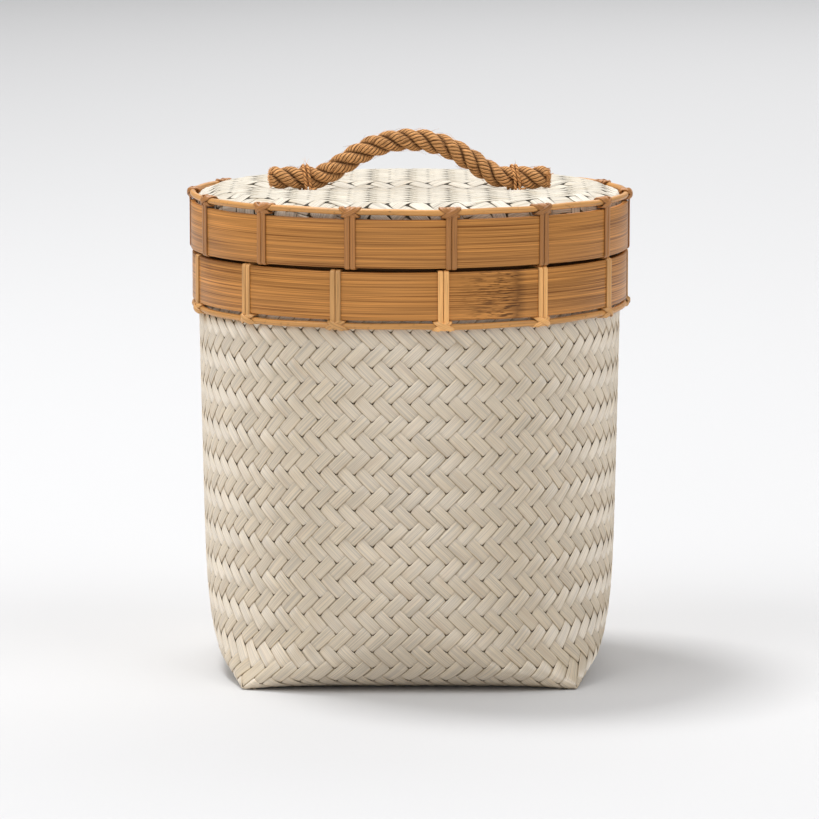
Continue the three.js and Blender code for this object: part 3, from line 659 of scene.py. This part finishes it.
class WOVENBOX_OT_lid_weave(bpy.types.Operator):
    """Plait the lid from diagonal strips that fold down over its shoulder"""
    bl_idname = "woven_box.lid_weave"
    bl_label = "Lid Weave"

    def execute(self, context):
        weave = context.scene.woven_box_weave
        colours = context.scene.woven_box_colours
        wash = tuple(colours.lid_whitewash)
        material = strip_material("pale_whitewashed_leaf", wash, tuple(colours.lid_bare_strip), 0.07, 0.3)
        random = np.random.default_rng(weave.seed + 1)
        pitch = weave.lid_pitch / MM
        shift = weave.lid_shift / MM
        crown = weave.lid_crown / MM
        tie_dip = weave.tie_dip / MM
        reach = (LID_RADIUS + LID_TOP - LID_BOTTOM - LID_TUCK) / pitch
        # The outermost two strips on each side would be slivers
        most = math.floor(reach * math.sqrt(2)) - 2

        def skin(u, v):
            return lid_skin(v * pitch + shift, -u * pitch, crown, tie_dip)

        for rising in (True, False):
            bm = new_shape()
            for number in range(-most, most + 1):
                half_chord = math.sqrt(2 * reach ** 2 - number ** 2) / 2
                middle = -number / 2 if rising else number / 2
                low = 2 * (middle - half_chord) - 0.5
                high = 2 * (middle + half_chord) - 0.5
                add_strip(
                    bm, skin, number, rising, low, high, pitch / math.sqrt(2), weave.lid_weave_depth, weave,
                    random)
            name = f"lid_weave_{'rising' if rising else 'falling'}"
            new_piece(bm, name, "lid", material, ["woven_lid"])
        return {"FINISHED"}


def spin_round(bm):
    """Spins a section round the box's axis into a closed ring."""
    bmesh.ops.spin(
        bm, geom=bm.verts[:] + bm.edges[:], cent=(0, 0, 0), axis=(0, 0, 1), dvec=(0, 0, 0),
        angle=2 * math.pi, steps=ROUND_STEPS, use_merge=True, use_duplicate=False)
    bmesh.ops.remove_doubles(bm, verts=bm.verts[:], dist=1e-6)


def spun_band(inner, outer, bottom, top, waviness, random):
    """Band with rounded edges, a little uneven round its rim."""
    bm = bmesh.new()
    corners = [(inner, bottom), (outer, bottom), (outer, top), (inner, top)]
    verts = [bm.verts.new((0, -radius * MM, height * MM)) for radius, height in corners]
    for k in range(4):
        bm.edges.new((verts[k], verts[(k + 1) % 4]))
    spin_round(bm)
    rims = [edge for edge in bm.edges if abs(edge.verts[0].co.z - edge.verts[1].co.z) < 1e-7]
    rims = [edge for edge in rims if abs(edge.verts[0].co.xy.length - edge.verts[1].co.xy.length) < 1e-5]
    bmesh.ops.bevel(
        bm, geom=rims, offset=min(outer - inner, 2) * 0.3 * MM, affect="EDGES", segments=2, profile=0.5,
        material=-1)
    phases = random.uniform(0, 6.3, 4)
    for vert in bm.verts:
        angle = math.atan2(vert.co.x, -vert.co.y)
        wave = math.sin(3 * angle + phases[0]) + 0.6 * math.sin(8 * angle + phases[1])
        sway = math.sin(2 * angle + phases[2]) + 0.5 * math.sin(7 * angle + phases[3])
        vert.co.xy *= 1 + waviness * 0.25 * wave / outer
        vert.co.z += waviness * 0.5 * sway * MM
    return bm


class WOVENBOX_OT_bands(bpy.types.Operator):
    """Bend the bamboo bands round both rims, and the collar that keeps the lid in place"""
    bl_idname = "woven_box.bands"
    bl_label = "Bamboo Bands"

    def execute(self, context):
        colours = context.scene.woven_box_colours
        random = np.random.default_rng(21)
        light = tuple(colours.bamboo)
        streak = tuple(colours.bamboo_streak)
        inner = tuple(colours.inner_bamboo)
        rim_bamboo = bamboo_material(
            "bent_bamboo_rim", shade(light, 1.02), streak, 0.4, math.radians(31), 0.55)
        lid_bamboo = bamboo_material("bent_bamboo_lid", light, streak, 0.42, math.radians(98), 0.3)
        # Dark inner bamboo, partly painted shade for the gap between the bands
        inner_bamboo = bamboo_material(
            "inner_face_bamboo", inner, shade(inner, 0.6), 0.6, math.radians(50), 0.3)
        bands = [
            ("rim_outer_band", "basket", "bamboo_band", rim_bamboo, OUTER_BAND_THICKNESS, 0.3),
            ("rim_inner_band", "basket", "inner_bamboo", inner_bamboo, RIM_INNER_BAND_THICKNESS, 0.1),
            ("lid_outer_band", "lid", "bamboo_band", lid_bamboo, OUTER_BAND_THICKNESS, 0.3),
            ("lid_inner_band", "lid", "inner_bamboo", inner_bamboo, LID_INNER_BAND_THICKNESS, 0.1),
            ("lid_collar", "basket", "inner_bamboo", inner_bamboo, COLLAR_THICKNESS, 0.1),
        ]
        for node, body, slot, material, thickness, waviness in bands:
            low, high = node_box(node)
            bm = spun_band(high[0] - thickness, high[0], low[2], high[2], waviness, random)
            new_piece(bm, f"{node}_bamboo", body, material, [node])
        return {"FINISHED"}


class WOVENBOX_OT_hoops(bpy.types.Operator):
    """Bend the round rattan hoops beside both outer bands"""
    bl_idname = "woven_box.hoops"
    bl_label = "Rattan Hoops"

    def execute(self, context):
        material = rattan_material("peeled_rattan", tuple(context.scene.woven_box_colours.rattan))
        random = np.random.default_rng(22)
        for node, body in (("rim_hoop", "basket"), ("lid_hoop", "lid")):
            low, high = node_box(node)
            radius = (high[0] - HOOP_RADIUS) * MM
            height = (low[2] + high[2]) / 2 * MM
            bm = bmesh.new()
            bmesh.ops.create_circle(bm, segments=12, radius=HOOP_RADIUS * MM, cap_ends=False)
            for vert in bm.verts:
                vert.co = (0, -radius + vert.co.x, height + vert.co.y)
            spin_round(bm)
            phases = random.uniform(0, 6.3, 3)
            for vert in bm.verts:
                angle = math.atan2(vert.co.x, -vert.co.y)
                sway = 0.25 * math.sin(5 * angle + phases[0]) + 0.18 * math.sin(14 * angle + phases[1])
                vert.co.z += sway * MM
                vert.co.xy *= 1 + 0.15 * math.sin(11 * angle + phases[2]) / high[0]
            new_piece(bm, f"{node}_rattan", body, material, [node])
        return {"FINISHED"}


def rounded_route(stops, facings, corner, steps):
    """Route through stops with rounded corners, and the way that it faces at each of its points."""
    route = [stops[0]]
    faces = [facings[0]]
    for k in range(1, len(stops) - 1):
        before = stops[k - 1] - stops[k]
        after = stops[k + 1] - stops[k]
        start = stops[k] + before * min(corner / np.linalg.norm(before), 0.45)
        end = stops[k] + after * min(corner / np.linalg.norm(after), 0.45)
        for t in np.linspace(0, 1, steps):
            route.append((1 - t) ** 2 * start + 2 * t * (1 - t) * stops[k] + t ** 2 * end)
            faces.append((1 - t) * facings[k - 1] + t * facings[k])
    route.append(stops[-1])
    faces.append(facings[-1])
    return np.array(route), unit(np.array(faces))


def section_rings(route, faces, section):
    """Rings of a section along a route: across it and up the way that it faces, in millimetres."""
    along = unit(np.gradient(route, axis=0))
    faces = unit(faces - along * np.sum(faces * along, axis=-1, keepdims=True))
    across = np.cross(along, faces)
    return route[:, None] + across[:, None] * section[..., :1] + faces[:, None] * section[..., 1:]


def route_lengths(route):
    return np.concatenate([[0], np.cumsum(np.linalg.norm(np.diff(route, axis=0), axis=1))])


def lashing_stops(rim, random):
    """Stops of one strand, with the way it faces: two turns over the rim, then a cross over the hoop."""
    up = rim["upward"]
    half = (STRAND_WIDTH + STRAND_GAP) / 2
    out = np.array([0.0, -1.0, 0.0])
    tall = np.array([0.0, 0.0, float(up)])
    # Height and radius at which a turn has passed behind the hoop and goes through the wall
    behind = rim["hoop"] - up * 2.3
    through = rim["inside"] + 4
    stops = [(-half, rim["inside"], rim["edge"] - up * STRAND_FIRST_END)]
    faces = [-out]
    for start in (-half, half):
        skew = random.uniform(-0.08, 0.08)
        stops += [
            (start + skew, rim["inside"], rim["edge"] + up * 0.4),
            (start + skew, rim["outside"], rim["edge"] + up * 0.4),
            (start - skew, rim["outside"], rim["band_end"] + up * 0.6),
            (start * 0.8, rim["over_hoop"], rim["hoop"]),
            (start * 0.7, rim["over_hoop"] - 1.2, rim["hoop"] - up * 1.9),
            (start * 0.7, through, behind),
        ]
        faces += [tall, out, out, out, -tall, -tall]
    between = (rim["band_end"] + rim["hoop"] + up * HOOP_RADIUS) / 2
    for side, lift in ((1, 0.7), (-1, 1.4)):
        from_place = side * random.uniform(3.8, 4.7)
        to_place = -side * random.uniform(4.3, 5.6)
        stops += [
            (from_place, through, between),
            (from_place, rim["outside"] - 0.8, between),
            (from_place * 0.3, rim["over_hoop"] + lift, rim["hoop"] + up * 1.1),
            (to_place * 0.6, rim["over_hoop"] + lift * 0.6, rim["hoop"] - up * 0.8),
            (to_place, rim["over_hoop"] - 1.5, rim["hoop"] - up * 2.0),
            (to_place, through, behind),
        ]
        faces += [tall, out, out, out, -tall, -tall]
    stops.append((-half, rim["inside"], rim["edge"] - up * STRAND_LAST_END))
    points = np.array([(along, -radius, height) for along, radius, height in stops])
    return points, np.array(faces)


class WOVENBOX_OT_lashings(bpy.types.Operator):
    """Bind both rims with split cane, two turns at each place"""
    bl_idname = "woven_box.lashings"
    bl_label = "Cane Lashings"

    def execute(self, context):
        colours = context.scene.woven_box_colours
        rim_cane = cane_material("split_cane", tuple(colours.rim_cane))
        lid_cane = cane_material("brown_split_cane", tuple(colours.lid_cane))
        rims = [
            ("rim", "basket", 1, RIM_LASHINGS, RIM_LASHING_START, RIM_HEIGHT, RIM_LASHING_INSIDE, rim_cane,
             (0.1, 0.45), 2),
            ("lid", "lid", -1, LID_LASHINGS, LID_LASHING_START, LID_BOTTOM, LID_LASHING_INSIDE, lid_cane,
             (0.3, 0.7), 0),
        ]
        random = np.random.default_rng(23)
        section = CANE_SECTION * (STRAND_WIDTH / 2, 1.0)
        for prefix, body, upward, count, start, edge, inside, material, tints, palest in rims:
            band_low, band_high = node_box(f"{prefix}_outer_band")
            hoop_low, hoop_high = node_box(f"{prefix}_hoop")
            rim = {
                "upward": upward,
                "edge": edge,
                "inside": inside,
                "outside": band_high[0] + 0.45,
                "band_end": band_low[2] if upward > 0 else band_high[2],
                "hoop": (hoop_low[2] + hoop_high[2]) / 2,
                "over_hoop": hoop_high[0] + 0.5,
            }
            for k in range(count):
                stops, faces = lashing_stops(rim, random)
                route, ways = rounded_route(stops, faces, 1.6, 5)
                # The first lashings of the body's rim are of paler cane
                tint = 1.0 if k < palest else random.uniform(*tints)
                angle = start + k * 2 * math.pi / count
                cosine = math.cos(angle)
                sine = math.sin(angle)
                spin = np.array([[cosine, sine, 0], [-sine, cosine, 0], [0, 0, 1]])
                bm = new_shape()
                add_tube(
                    bm, section_rings(route, ways, section) @ spin,
                    strip_place=(route_lengths(route)[:, None], section[:, 0], k * 5.3),
                    strip_look=(tint, CANE_SECTION[:, 0], 0))
                name = f"{prefix}_lashing_{k + 1:02d}"
                new_piece(bm, f"{name}_cane", body, material, [name])
        return {"FINISHED"}


def rope_line(step):
    """Centre line of the rope, its direction and its length so far: flat ends and an arch between them."""
    slope = math.atan(ARCH_FULLNESS * ARCH_RISE / ARCH_START)
    foot = ARCH_FOOT_RADIUS
    span = ARCH_START - foot * math.sin(slope)
    rise = ARCH_RISE - foot * (1 - math.cos(slope))
    crown = (span * math.tan(slope) - rise) * math.cos(slope) / (1 - math.cos(slope))
    ramp = (span - crown * math.sin(slope)) / math.cos(slope)
    runs = [0, ROPE_END_REACH - ARCH_START, foot * slope, ramp, 2 * crown * slope, ramp, foot * slope]
    runs.append(ROPE_END_REACH - ARCH_START)
    bends = np.cumsum(runs)
    lengths = np.linspace(0, bends[-1], math.ceil(bends[-1] / step) + 1)
    angles = np.interp(lengths, bends, [0, 0, slope, slope, -slope, -slope, 0, 0])
    along = np.stack([np.cos(angles), np.zeros_like(angles), np.sin(angles)], axis=-1)
    middles = (along[1:] + along[:-1]) / 2 * np.diff(lengths)[:, None]
    line = np.concatenate([[[0, 0, 0]], np.cumsum(middles, axis=0)])
    line += (-ROPE_END_REACH, 0, ROPE_AXIS_HEIGHT)
    return line, along, lengths


def add_fibre(bm, start, way, length, droop, thickness, number, tint):
    """One loose fibre: a thin three-sided hair that bends as it leaves the rope."""
    t = np.linspace(0, 1, 4)[:, None]
    route = start + way * length * t + droop * length * t ** 2
    side = unit(np.cross(unit(way + droop), (0.31, 0.52, 0.79)))
    top = unit(np.cross(way, side))
    turns = np.arange(3) * 2 * math.pi / 3
    ring = np.cos(turns)[:, None] * side + np.sin(turns)[:, None] * top
    rings = route[:, None] + ring * (thickness / 2 * (1 - 0.6 * t[:, None]))
    add_tube(bm, rings, strip_place=(t * length, 0, number), strip_look=(tint, 0, 1))


class WOVENBOX_OT_rope_handle(bpy.types.Operator):
    """Lay the three-strand rope handle, with its loose fibres and its brushed cut ends"""
    bl_idname = "woven_box.rope_handle"
    bl_label = "Rope Handle"

    def execute(self, context):
        rope = context.scene.woven_box_rope
        colours = context.scene.woven_box_colours
        material = fibre_material("laid_fibre_rope", tuple(colours.rope), tuple(colours.rope_groove_shade))
        random = np.random.default_rng(24)
        line, along, lengths = rope_line(ROPE_STEP)
        upward = np.stack([-along[:, 2], np.zeros(len(along)), along[:, 0]], axis=-1)
        across = np.array([0.0, 1.0, 0.0])
        strand = ROPE_DIAMETER * STRAND_SHARE
        helix = ROPE_DIAMETER / 2 - strand
        turns = np.linspace(0, 2 * math.pi, STRAND_FACETS, endpoint=False)
        from_end = np.minimum(lengths, lengths[-1] - lengths)
        # The cut ends spread a little and are rounded off
        short = 1 - np.clip(from_end / 4.5, 0, 1)
        spread = (1 + 0.08 * np.exp(-from_end / 5)) * np.sqrt(1 - 0.75 * short ** 2)
        bm = new_shape()
        for k in range(3):
            lay = 2 * math.pi * (k / 3 - lengths / (rope.lay / MM)) + STRAND_PHASE
            reach = (helix * spread)[:, None]
            centre = line + reach * (np.cos(lay)[:, None] * upward + np.sin(lay)[:, None] * across)
            # The yarns turn back against the strand, so that they cross the rope's line the other way
            wander = 0.035 * np.sin(5 * lay + 2 * k)[:, None] * np.sin(2 * turns + k)
            yarn = turns + lay[:, None] * 2.3 + wander
            crown = np.abs(np.cos(yarn * rope.yarns / 2))
            bulk = spread * (1 + 0.03 * np.sin(lengths * 0.21 + k * 2))
            radius = strand * bulk[:, None] - 0.6 + 0.65 * np.sqrt(crown)
            # The seam of the strand's skin faces the middle of the rope
            facing = (lay + math.pi)[:, None] + turns
            ring = np.cos(facing)[..., None] * upward[:, None] + np.sin(facing)[..., None] * across
            rings = centre[:, None] + ring * radius[..., None]
            # Share of the rope's radius, which the material turns into painted shade deep between the strands
            rim = np.linalg.norm(rings - line[:, None], axis=-1) / (spread[:, None] * ROPE_DIAMETER / 2)
            add_tube(
                bm, rings, strip_place=(lengths[:, None], yarn * strand, k * 17.0),
                strip_look=(random.random(), yarn * rope.yarns / 2, rim))
        for k in range(rope.loose_fibres):
            at = random.integers(4, len(line) - 4)
            turn = random.uniform(0, 2 * math.pi)
            outwards = math.cos(turn) * upward[at] + math.sin(turn) * across
            start = line[at] + outwards * ROPE_DIAMETER / 2 * random.uniform(0.78, 0.92)
            way = unit(along[at] * random.choice([-1, 1]) + outwards * random.uniform(0.15, 0.6)
                       + np.cross(along[at], outwards) * random.uniform(-0.4, 0.4))
            droop = -outwards * random.uniform(0, 0.35)
            length = random.uniform(3, 8)
            add_fibre(bm, start, way, length, droop, LOOSE_FIBRE, 60 + k * 0.7, random.uniform(0.3, 1))
        for end, way_out in ((0, -1.0), (-1, 1.0)):
            for k in range(rope.end_fibres):
                turn = random.uniform(0, 2 * math.pi)
                reach = math.sqrt(random.uniform(0, 1)) * ROPE_DIAMETER * 0.44
                outwards = math.cos(turn) * upward[end] + math.sin(turn) * across
                start = line[end] + outwards * reach - along[end] * way_out * 2.2
                way = unit(along[end] * way_out + outwards * random.uniform(-0.1, 0.35) * reach / 5)
                droop = outwards * random.uniform(-0.2, 0.3)
                length = random.uniform(1.2, 2.2) + 1.0 * (1 - (reach / ROPE_DIAMETER * 2) ** 2)
                add_fibre(bm, start, way, length, droop, END_FIBRE, 500 + k, random.uniform(0.2, 1))
        new_piece(bm, "rope_handle_laid", "handle", material, ["rope_handle"])
        return {"FINISHED"}


class WOVENBOX_OT_rope_ties(bpy.types.Operator):
    """Tie the rope to the lid with two turns of twine at each end of the arch"""
    bl_idname = "woven_box.rope_ties"
    bl_label = "Rope Ties"

    def execute(self, context):
        rope = context.scene.woven_box_rope
        colours = context.scene.woven_box_colours
        material = fibre_material("twisted_twine", tuple(colours.twine), tuple(colours.rope_groove_shade))
        random = np.random.default_rng(25)
        radius = rope.twine_diameter / MM / 2
        hug = ROPE_DIAMETER / 2 + 0.5
        dip = context.scene.woven_box_weave.tie_dip / MM
        lid = LID_TOP - dip
        bottom = lid - WEAVE_THICKNESS - radius
        turns = np.linspace(0, 2 * math.pi, 12, endpoint=False)
        for name, reach in (("handle_tie_left", -TIE_REACH), ("handle_tie_right", TIE_REACH)):
            front = reach + TIE_SLANT
            # The loose end lies on the lid in front of the rope
            stops = [(front + 5, -hug - 2.4, lid + 1.6), (front + 1.5, -hug - 1.6, lid + 1.2)]
            for turn in TIE_TURNS:
                stops.append((front + turn, -hug, bottom))
                for angle in np.linspace(-TIE_WRAP, TIE_WRAP, 13):
                    x = reach + turn - angle / TIE_WRAP * TIE_SLANT + random.uniform(-0.2, 0.2)
                    stops.append((x, hug * math.sin(angle), ROPE_AXIS_HEIGHT + hug * math.cos(angle)))
                stops.append((reach - TIE_SLANT + turn, hug, bottom))
            stops = np.array(stops)
            facings = np.broadcast_to((1.0, 0.0, 0.0), stops.shape)[:-1]
            route, ways = rounded_route(stops, facings, 2.0, 4)
            lengths = route_lengths(route)
            # Two plies, which twist round each other
            ply = turns - lengths[:, None] * 2 * math.pi / PLY_LENGTH
            crown = np.abs(np.cos(ply))
            size = radius * (0.72 + 0.3 * np.sqrt(crown))
            section = np.stack([np.cos(turns) * size, np.sin(turns) * size], axis=-1)
            rings = section_rings(route, ways, section)
            bm = new_shape()
            add_tube(
                bm, rings, strip_place=(lengths[:, None], ply * radius, reach), strip_look=(0.6, ply, 1))
            for k in range(TWINE_FIBRES):
                at = random.integers(len(route))
                way = unit(random.uniform(-1, 1, 3))
                droop = random.uniform(-0.5, 0.5, 3)
                length = random.uniform(2, 4.5)
                add_fibre(bm, route[at], way, length, droop, TWINE_FIBRE, k, random.uniform(0.4, 1))
            new_piece(bm, f"{name}_twine", "lid", material, [name])
        return {"FINISHED"}


def add_light(name, place, target, size, energy):
    """Soft square light that faces a target."""
    light = bpy.data.lights.new(name, "AREA")
    light.size = size
    light.energy = energy
    lamp = bpy.data.objects.new(name, light)
    bpy.context.scene.collection.objects.link(lamp)
    lamp.location = place
    toward = np.array(target) - np.array(place)
    flat = math.hypot(toward[0], toward[1])
    lamp.rotation_euler = (math.atan2(flat, -toward[2]), 0, math.atan2(-toward[0], toward[1]))


class WOVENBOX_OT_stage(bpy.types.Operator):
    """Set up the camera, the soft studio light and the pale floor"""
    bl_idname = "woven_box.stage"
    bl_label = "Stage"

    def execute(self, context):
        scene = context.scene
        scene.view_settings.view_transform = "Standard"
        camera = bpy.data.cameras.new("camera")
        camera.lens = CAMERA_LENS
        camera.sensor_width = CAMERA_SENSOR
        camera.clip_end = CAMERA_FAR
        seat = bpy.data.objects.new("camera", camera)
        scene.collection.objects.link(seat)
        back = CAMERA_DISTANCE * math.cos(CAMERA_ELEVATION) * MM
        height = (CAMERA_TARGET_HEIGHT + CAMERA_DISTANCE * math.sin(CAMERA_ELEVATION)) * MM
        seat.location = (0, -back, height)
        seat.rotation_euler = (math.pi / 2 - CAMERA_ELEVATION, 0, 0)
        scene.camera = seat

        world = bpy.data.worlds.new("studio")
        world.use_nodes = True
        world.node_tree.nodes.clear()
        even_white = {"Color": (1, 1, 1, 1), "Strength": SKY_STRENGTH}
        sky = add_node(world.node_tree, "ShaderNodeBackground", even_white)
        add_node(world.node_tree, "ShaderNodeOutputWorld", {"Surface": sky.outputs[0]})
        scene.world = world
        for name, settings in LIGHTS.items():
            add_light(name, *settings)

        material, tree, shader = new_material("matt_paper", 0.9, 0.1)
        place = add_node(tree, "ShaderNodeTexCoord").outputs["Object"]
        # Paper tooth 2 mm across
        grit = {"Vector": place, "Scale": 1 / (2 * MM), "Detail": 2}
        tooth = add_node(tree, "ShaderNodeTexNoise", grit).outputs[0]
        paper = tuple(scene.woven_box_colours.floor)
        colour = add_node(
            tree, "ShaderNodeValToRGB", {"Fac": tooth}, [(0.3, shade(paper, 0.99)), (0.7, paper)]).outputs[0]
        tree.links.new(colour, shader.inputs["Base Color"])
        bm = bmesh.new()
        bmesh.ops.create_circle(bm, segments=64, radius=FLOOR_RADIUS, cap_ends=True)
        mesh = bpy.data.meshes.new("floor")
        bm.to_mesh(mesh)
        bm.free()
        mesh.materials.append(material)
        floor = bpy.data.objects.new("floor", mesh)
        scene.collection.objects.link(floor)
        return {"FINISHED"}


class WOVENBOX_PT_panel(bpy.types.Panel):
    """Sidebar list of the box's pieces"""
    bl_idname = "WOVENBOX_PT_panel"
    bl_label = "Woven Lidded Box"
    bl_space_type = "VIEW_3D"
    bl_region_type = "UI"
    bl_category = "Woven Box"

    def draw(self, context):
        for operator in OPERATORS:
            self.layout.operator(operator.bl_idname)
        for group_name in GROUPS:
            group = getattr(context.scene, group_name)
            box = self.layout.box()
            for name in group.__annotations__:
                box.prop(group, name)


OPERATORS = (
    WOVENBOX_OT_stage,
    WOVENBOX_OT_rope_handle,
    WOVENBOX_OT_rope_ties,
    WOVENBOX_OT_body_weave,
    WOVENBOX_OT_lid_weave,
    WOVENBOX_OT_bands,
    WOVENBOX_OT_hoops,
    WOVENBOX_OT_lashings,
)
GROUPS = {
    "woven_box_weave": WovenBoxWeave,
    "woven_box_rope": WovenBoxRope,
    "woven_box_colours": WovenBoxColours,
}


def register():
    for group in GROUPS.values():
        bpy.utils.register_class(group)
    for name, group in GROUPS.items():
        setattr(bpy.types.Scene, name, PointerProperty(type=group))
    for operator in OPERATORS:
        bpy.utils.register_class(operator)
    bpy.utils.register_class(WOVENBOX_PT_panel)


def unregister():
    bpy.utils.unregister_class(WOVENBOX_PT_panel)
    for operator in reversed(OPERATORS):
        bpy.utils.unregister_class(operator)
    for name in GROUPS:
        delattr(bpy.types.Scene, name)
    for group in reversed(list(GROUPS.values())):
        bpy.utils.unregister_class(group)


def main():
    register()
    bpy.ops.woven_box.stage()
    bpy.ops.woven_box.rope_handle()
    bpy.ops.woven_box.rope_ties()
    bpy.ops.woven_box.body_weave()
    bpy.ops.woven_box.lid_weave()
    bpy.ops.woven_box.bands()
    bpy.ops.woven_box.hoops()
    bpy.ops.woven_box.lashings()


if __name__ == "__main__":
    main()
